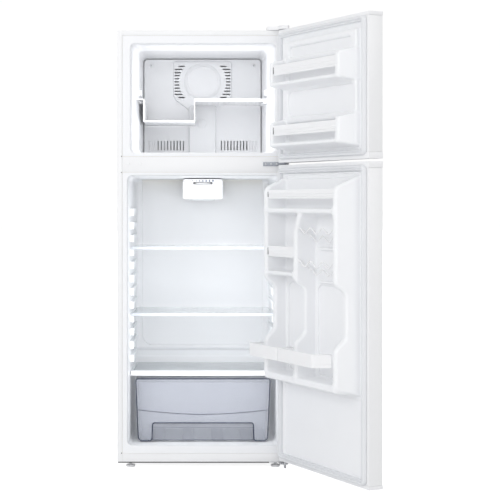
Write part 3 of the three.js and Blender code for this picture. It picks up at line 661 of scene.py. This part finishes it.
def housing_field(x, y, z):
    body = rbox(x, y, z, -72, 72, 170, 440, 931, 1002, 7)
    face = rounded([(-67, 1003), (-63, 992), (-50, 981), (50, 981), (63, 992), (67, 1003)], 3, 4)
    f = rmin(body, extrude(poly(face, x, z), y, 146, 190, 3.5), 4)
    lower = rbox(x, y, z, -66, 66, 166, 260, 934, 976, 8)
    f = rmin(f, lower, 5)
    f = carve(f, rbox(x, y, z, -34, 34, 130, 202, 983.6, 991.4, 1), 0.8)
    f = carve(f, rbox(x, y, z, -45, 45, 240, 330, 900, 958, 2), 1)
    return f


def control_housing():
    xs = grid(-76, 76, 4, (-74, -58, 1), (58, 74, 1), (-54, 54, 1.6))
    ys = grid(142, 444, 8, (143, 154, 0.8), (160, 178, 1), (192, 206, 1.5), (236, 246, 1.2), (326, 334, 1.2),
              (430, 443, 1))
    zs = grid(928, 1006, 2, (928, 944, 1), (972, 1004, 0.7))
    formed("control_housing_body", housing_field, (xs, ys, zs), moulded(), "cabinet",
           ["control_housing"])
    dress("thermostat_dial", moulded(), 0.5, 3)
    for k in range(24):
        t = 2 * math.pi * k / 24
        x, y = DIAL_GRIP_R * math.cos(t), DIAL_Y + DIAL_GRIP_R * math.sin(t)
        lathe(f"dial_grip_{k}", [(0.01, -1.7), (1.5, -1.7), (1.7, -1.2), (1.7, 1.2), (1.5, 1.7), (0.01, 1.7)],
              (x, y, DIAL_Z), "z", moulded(), "thermostat_dial", 16)
    for k in range(7):
        x = -36 + 12 * k
        size = 1.6 + 0.35 * k
        brick(f"control_mark_{k}", x - size * 0.7, x + size * 0.7, 145.75, 146.4, 996 - size, 996 + size,
              mark(), "cabinet", 0.2)
    dress("lamp_cover", frosted(), 1.5, 3)
    dress("light_switch_button", moulded(), 0.6, 3)


def shelves():
    for where in ("upper", "lower"):
        dress(f"{where}_shelf_glass", pane(), 0.5, 2)
        dress(f"{where}_shelf_trim", trim_clear(), 0.8, 3)
    dress("crisper_cover_glass", pane(), 0.5, 2)
    dress("crisper_cover_trim", moulded(), 1.8, 3)


# ---------------------------------------------------------------- crisper
def front_outline():
    arch = [(-238, 298), (-229, 88), (-220, 78.8), (-181, 78.8), (-179, 142), (179, 142), (181, 78.8),
            (220, 78.8), (229, 88), (238, 298)]
    return rounded(arch, 8, 5)


def crisper():
    dress("crisper_drawer", tinted(), 0.7, 3)
    face = block("crisper_front_panel", front_outline(), "y", 91.5, 95.5, tinted(),
                 "crisper", 0.9)
    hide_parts("crisper_front")
    # The near-black tubes below trace the drawer's edges and the moulded line on its front: painted shade for
    # the tinted plastic seen edge-on.
    edge = [(a * 0.995, 92.6, min(b, 297)) for a, b in front_outline()]
    tube("crisper_front_edge", edge, 1.9, painted_edge_shade(), "crisper", sides=10, closed=True)
    curve = [(x, 91.4, 188 - 16 * math.cos(x / 232 * math.pi / 2)) for x in np.linspace(-230, 230, 60)]
    tube("crisper_style_line", curve, 0.8, painted_edge_shade(), "crisper", sides=10)
    for label, z, r in (("rim", 286.2, 0.7), ("base", 81.2, 1.1)):
        half, low, high = (238.5, 96.5, 397.5) if label == "rim" else (221, 99, 386)
        loop = rounded([(-half, low), (half, low), (half, high), (-half, high)], 12, 6)
        tube(f"crisper_{label}_edge", [(a, b, z) for a, b in loop], r, painted_edge_shade(),
             "crisper", sides=8, closed=True)
    for k in range(4):
        x = -156 + 104 * k
        brick(f"crisper_floor_pad_{k}", x - 22, x + 22, 110, 370, 82.2, 85.4, tinted(),
              "crisper", 1.2)


# ---------------------------------------------------------------- doors, in (u, d, z)
def in_door(field):
    """A field in door terms, asked for in the door's own (x, y, z)."""
    return lambda x, y, z: field(EDGE - x, y - FACE, z)


def wall(u, d, z, outline, u0, u1, crest, r=8, turn=26, flare=(0, 0)):
    """A ridge across the door whose sides flare out by so much towards the door's inner face."""
    rise = np.clip(1 - d / crest, 0, 1.3)
    w = np.maximum(u0 - flare[0] * rise - u, u - u1 - flare[1] * rise) + r
    q = poly(rounded(outline, turn), d, z) + r
    return np.minimum(np.maximum(q, w), 0) + np.hypot(np.maximum(q, 0), np.maximum(w, 0)) - r


def freezer_door_field(u, d, z):
    low, crest = 16, DOOR_CREST["freezer"]
    f = d + 0 * u + 0 * z
    f = rmin(f, np.hypot(panel2d(u, z, 37, 558, 1086, 1484, 22), d) - 2.6, 2)
    f = rmin(f, rbox(u, d, z, 56, 546, -20, low, 1100, 1462, 7), 5)
    for z0, z1 in ((1312, 1392), (1108, 1188)):
        wing = [(-30, z0 - 12), (low, z0 - 9), (crest, z0), (crest, z1), (low, z1 + 12), (-30, z1 + 16)]
        for a, b, flare in ((62, 86, (6, 0)), (508, 532, (0, 16))):
            f = rmin(f, wall(u, d, z, wing, a, b, crest, 7, 14, flare), 7)
        shelf = [(-20, z0 - 11), (low, z0 - 9), (crest, z0), (crest, z0 + 10), (-20, z0 + 12)]
        f = rmin(f, extrude(poly(rounded(shelf, 4), d, z), u, 70, 524, 4), 7)
    for u0, u1, z0, z1, r in ((98, 512, 1408, 1442, 14), (92, 528, 1208, 1294, 20),
                              (92, 502, 1330, 1390, 14), (92, 502, 1126, 1186, 14)):
        f = carve(f, extrude(panel2d(u, z, u0, u1, z0, z1, r), d, 7, 40, 2), 7)
    return f


def fresh_door_field(u, d, z):
    crest, neck = DOOR_CREST["fresh"], 50
    f = d + 0 * u + 0 * z
    f = rmin(f, np.hypot(panel2d(u, z, 37, 558, 54, 1014, 22), d) - 2.6, 2)
    f = carve(f, extrude(panel2d(u, z, 44, 551, 61, 302, 18), d, -2, 20, 0.9), 0.9)
    outline = [(-30, 1020), (crest, 968), (crest, 662), (neck, 638), (neck, 494), (crest, 459),
               (crest, 335), (-30, 309)]
    f = rmin(f, rbox(u, d, z, 60, 527, -20, 8, 322, 998, 4), 5)
    for a, b, flare in ((48, 72, (8, 0)), (515, 538, (0, 16))):
        f = rmin(f, wall(u, d, z, outline, a, b, crest, 9, 26, flare), 7)
    middle = [(-30, 890), (crest, 890)] + outline[2:]
    lean = np.clip((z - 822) / 56, 0, 1) * 24
    f = rmin(f, wall(u - lean, d, z, middle, 257, 281, crest, 9, 24), 8)
    for low, high, u0, u1 in ((876, 900, 60, 527), (668, 690, 60, 268), (318, 350, 60, 527)):
        shelf = [(-20, low - 2), (78, low + 8), (crest, low + 12), (crest, high), (-20, high)]
        f = rmin(f, extrude(poly(rounded(shelf, 5), d, z), u, u0, u1, 4), 13)
    for low in (766, 658):
        f = rmin(f, rbox(u, d, z, 310, 524, -5, 22, low, low + 8, 2.5), 4)
    for u0, u1 in ((84, 250), (288, 504)):
        f = carve(f, extrude(panel2d(u, z, u0, u1, 358, 650, 22), d, 2, 30, 1.5), 2)
    return f


def door_foam(name, node, body, field, low, high):
    """The foam between a door's skin and its liner."""
    def inner(u, d, z):
        hollow = rbox(u, d, z, 1.8, 593.2, -48.4, 120, low, high, 1)
        return np.maximum(field(u, d, z) + FOAM_INSET, hollow)

    axes = (grid(EDGE - 595, EDGE, 11), grid(FACE - 50, FACE + 90, 8), grid(low - 3, high + 3, 12))
    formed(name, in_door(inner), axes, foam(), body, [node], door=True)


def door_liners():
    us = grid(EDGE - 583, EDGE - 12, 12, *[(EDGE - b, EDGE - a, s) for a, b, s in (
        (32, 42, 1.6), (50, 106, 1.5), (490, 564, 1.5))])
    ds = grid(FACE - 8, FACE + 76, 5, (FACE - 4, FACE + 20, 1.4), (FACE + 62, FACE + 76, 1.3))
    zs = grid(1076.3, 1499.7, 8, (1080, 1134, 1.5), (1176, 1222, 1.6), (1280, 1338, 1.5), (1376, 1490, 1.6))
    formed("freezer_door_liner_sheet", in_door(freezer_door_field), (us, ds, zs), lining(),
           "freezer_door", ["freezer_door_liner"], door=True)
    us = grid(EDGE - 583, EDGE - 12, 12, *[(EDGE - b, EDGE - a, s) for a, b, s in (
        (32, 92, 1.6), (244, 318, 1.6), (318, 328, 2), (492, 568, 1.6))])
    ds = grid(FACE - 8, FACE + 89, 5, (FACE - 4, FACE + 3, 0.7), (FACE + 3, FACE + 14, 1.4),
              (FACE + 44, FACE + 54, 2), (FACE + 74, FACE + 89, 1.3))
    zs = grid(43.3, 1027.7, 9, (48, 84, 1.5), (286, 380, 1.6), (436, 520, 2.2), (616, 704, 1.6),
              (754, 784, 1.6), (820, 914, 1.6), (940, 1020, 1.7))
    formed("fresh_door_liner_sheet", in_door(fresh_door_field), (us, ds, zs), lining(),
           "fresh_food_door", ["fresh_door_liner"], door=True)
    door_foam("freezer_door_fill", "freezer_door_foam", "freezer_door", freezer_door_field, 1077, 1499)
    door_foam("fresh_door_fill", "fresh_door_foam", "fresh_food_door", fresh_door_field, 44, 1027)


def gasket(name, body, low, high):
    """A magnetic seal: a soft ribbed section carried round the door."""
    section = [(0, 0.6), (0, 6), (1.2, 9.5), (2.2, 12.4), (4, 13.4), (8, 13.5), (9.4, 12.4), (9.8, 10.4),
               (10.8, 9.4), (12.4, 9.4), (13.2, 10.8), (14.2, 11.6), (16, 11.4), (17.4, 9.6), (18, 6),
               (18, 0.6)]
    inset, steps, r = 11, 8, 20
    points, faces = [], []
    corners = [(WIDTH - inset, high - inset), (inset, high - inset), (inset, low + inset),
               (WIDTH - inset, low + inset)]
    for quarter, (cu, cz) in enumerate(corners):
        su, sz = (1 if quarter in (0, 3) else -1), (1 if quarter in (0, 1) else -1)
        for k in range(steps + 1):
            t = (quarter + k / steps) * math.pi / 2
            for w, d in section:
                u = cu - su * r + (r - w) * math.cos(t)
                z = cz - sz * r + (r - w) * math.sin(t)
                points.append((EDGE - u, FACE + d, z))
    n, rings = len(section), len(points) // len(section)
    for i in range(rings):
        m = (i + 1) % rings
        for k in range(n):
            j = (k + 1) % n
            faces.append((i * n + k, i * n + j, m * n + j, m * n + k))
    obj = add(f"{name}_seal", points, faces, rubber(), body, door=True)
    split = obj.modifiers.new("split", "EDGE_SPLIT")
    split.split_angle = math.radians(50)
    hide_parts(f"{name}_gasket")


def door_shells():
    for name, body, low, high in (("freezer_door", "freezer_door", 1056, 1512),
                                  ("fresh_door", "fresh_food_door", 31, 1048)):
        dress(f"{name}_skin", enamel(), 1.0, 3)
        dress(f"{name}_top_cap", moulded(), 1.6, 3)
        dress(f"{name}_bottom_cap", moulded(), 1.6, 3)
        gasket(name, body, low, high)


def stepped_bar(name, node, body, u0, u1, d, z0, z1):
    """A bin rail with two shallow steps along its front and rolled top and bottom edges."""
    h = z1 - z0
    section = [(d, z0 + 1), (d + 3.6, z0), (d + 4.4, z0 + 0.22 * h), (d + 5.6, z0 + 0.26 * h),
               (d + 5.6, z0 + 0.5 * h), (d + 6.6, z0 + 0.54 * h), (d + 6.6, z0 + 0.86 * h),
               (d + 5.2, z1), (d, z1 - 0.5)]
    outline = [(FACE + a, b) for a, b in section]
    obj = block(f"{name}_rail", outline, "x", EDGE - u1 + 0.3, EDGE - u0 - 0.3, moulded(),
                body, 0.8, door=True)
    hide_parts(node)
    # A black brick at the rail's hinge end: painted shadow for the dark slot where the rail plugs in.
    brick(f"{name}_painted_slot_shadow", EDGE - u0 - 6.5, EDGE - u0 - 3, FACE + d + 6.2, FACE + d + 6.9, z0 + 6, z1 - 6,
          black(), body, 0.3, door=True)


def door_rails():
    for where, z in (("upper", 1346), ("lower", 1143)):
        stepped_bar(f"freezer_{where}", f"freezer_door_{where}_bar", "freezer_door", 86, 508, 62, z, z + 35)
    stepped_bar("fresh_top", "fresh_door_top_bar", "fresh_food_door", 72, 515, 75, 932, 962)
    stepped_bar("fresh_short", "fresh_door_short_bar", "fresh_food_door", 72, 258, 75, 738, 774)


def can_wires():
    for where, z in (("upper", 838), ("lower", 730)):
        for label, d, drop in (("front", 74, 0), ("rear", 30, 27)):
            path = []
            for k in range(73):
                u = 283 + 229 * k / 72
                wave = 18 * (0.5 - 0.5 * math.cos(k / 72 * 6 * math.pi))
                path.append((EDGE - u, FACE + d, z - drop - wave))
            tube(f"can_wire_{where}_{label}", path, 2.3, enamel(),
                               "fresh_food_door", door=True)
        for label, u in (("left", 284), ("right", 511)):
            path = [(EDGE - u, FACE + 30 + 44 * t, z - 27 + 27 * t) for t in np.linspace(0, 1, 9)]
            tube(f"can_wire_{where}_{label}", path, 2.0, enamel(), "fresh_food_door", door=True)
            for d, drop in ((74, 0), (30, 27)):
                x, y, at = EDGE - u, FACE + d, z - drop
                brick(f"wire_block_{where}_{label}_{d}", x - 4, x + 4, y - 6, y + 5, at - 6, at + 6,
                      moulded(), "fresh_food_door", 1.8, door=True)
        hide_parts(f"bottle_wire_{where}")


def bottle_guards():
    for side, points in (("hinge_side", [(56, 0), (56, 58), (256, 58), (256, 0)]),
                         ("free_side", [(262, 0), (262, 58), (494, 58), (514, 0)])):
        t, base = 2.4, FACE + DOOR_CREST["fresh"] + 1
        outer = [(EDGE - u, base + d) for u, d in points]
        bent = open_round(outer, 9)
        inner = offset_path(bent, t)
        ring = bent + inner[::-1]
        guard = block(f"bottle_guard_{side}_rail", ring, "z", 405, 446, moulded(),
                      "fresh_food_door", 0.8, door=True)
        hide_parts(f"bottle_guard_{side}")
        middle = offset_path(bent, t / 2)
        tube(f"bottle_guard_{side}_lip", [(x, y, 446) for x, y in middle], 2.0, moulded(),
             "fresh_food_door", door=True, sides=16)
        tube(f"bottle_guard_{side}_bead", [(x, y, 417) for x, y in offset_path(bent, -0.1)], 0.7, moulded(),
             "fresh_food_door", door=True, sides=10)


def open_round(points, radius, steps=6):
    """An open path with arcs at its inner corners."""
    out = [tuple(points[0])]
    for i in range(1, len(points) - 1):
        p, a, b = (Vector(v) for v in (points[i], points[i - 1], points[i + 1]))
        for k in range(steps + 1):
            t = k / steps
            start, end = p + (a - p).normalized() * radius, p + (b - p).normalized() * radius
            out.append(tuple(start * (1 - t) ** 2 + p * 2 * t * (1 - t) + end * t * t))
    return out + [tuple(points[-1])]


def offset_path(points, by):
    """The path moved sideways."""
    out = []
    for i, p in enumerate(points):
        a, b = Vector(points[max(i - 1, 0)]), Vector(points[min(i + 1, len(points) - 1)])
        along = (b - a).normalized()
        out.append((p[0] - along.y * by, p[1] + along.x * by))
    return out


# ---------------------------------------------------------------- cabinet outside
def cabinet():
    dress("outer_shell", enamel(), 0.9, 3)
    dress("back_panel", enamel(), 0.5, 2)
    dress("mullion_plate", enamel(), 0.3, 2)
    dress("base_plate", enamel(), 0.5, 2)
    dress("machine_base", zinc(), 0.5, 2)
    dress("machine_cover", dark_steel(), 0.4, 2)
    dress("compressor", dark_steel(), 1.5, 3)
    dress("drain_pan", black(), 0.8, 2)
    dress("power_inlet", black(), 0.6, 2)
    dress("cabinet_foam", foam())
    for side in ("left", "right"):
        dress(f"rear_roller_{side}", black(), 1.2, 3)
        dress(f"front_foot_{side}", moulded(), 0.8, 3)
    # A near-black strip under the base's front edge: painted shadow for the shade beneath the cabinet.
    brick("base_shadow_strip", -296, 230, 1, 12, 17.2, 20.7, black(), "cabinet", 0.5)
    # Black discs on the left front strip: painted shade standing for the dark inside of the holes.
    hole = [(0.01, -0.25), (1.5, -0.25), (1.7, -0.02), (0.01, -0.02)]
    for k, z in enumerate((1079, 1023, 51)):
        lathe(f"painted_hole_shade_{k}", hole, (-282.5, 0, z), "y", black(), "cabinet", 20)
    plug = [(0.01, -1.7), (3.4, -1.7), (4.2, -1.3), (4.5, -0.6), (4.5, -0.3), (0.01, -0.3)]
    for where, x in (("outer", -259), ("inner", -218)):
        p = lathe(f"plug_{where}", plug, (x, 0, 1053), "y", moulded(), "cabinet", 48)
        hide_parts(f"mullion_plug_{where}")
    for x in (-286, -150, 0, 150, 286):
        screw(f"back_screw_top_{x}", (x, DEPTH, 1506), "y", 1, "cabinet", 3.6)
    for x in (-286, 286):
        for z in (330, 560, 790, 1020, 1250):
            screw(f"back_screw_{x}_{z}", (x, DEPTH, z), "y", 1, "cabinet", 3.6)
        for z in (40, 290):
            screw(f"cover_screw_{x}_{z}", (x, DEPTH - 1.5, z), "y", 1, "cabinet", 3.6)


def hinge_parts():
    dress("top_hinge", zinc(), 0.5, 2)
    dress("top_hinge_cover", moulded(), 2.0, 4)
    dress("middle_hinge", plate(), 0.6, 2)
    dress("bottom_hinge", zinc(), 0.5, 2)
    for k, x in enumerate((217, 236, 255)):
        screw(f"middle_screw_{k}", (x, -3.3, 1052), "y", -1, "cabinet", 3.8)


# ---------------------------------------------------------------- the whole refrigerator
camera()
studio()
cabinet()
freezer_liner()
freezer_fittings()
freezer_shelf()
fresh_liner()
control_housing()
shelves()
crisper()
door_shells()
door_liners()
door_rails()
can_wires()
bottle_guards()
hinge_parts()
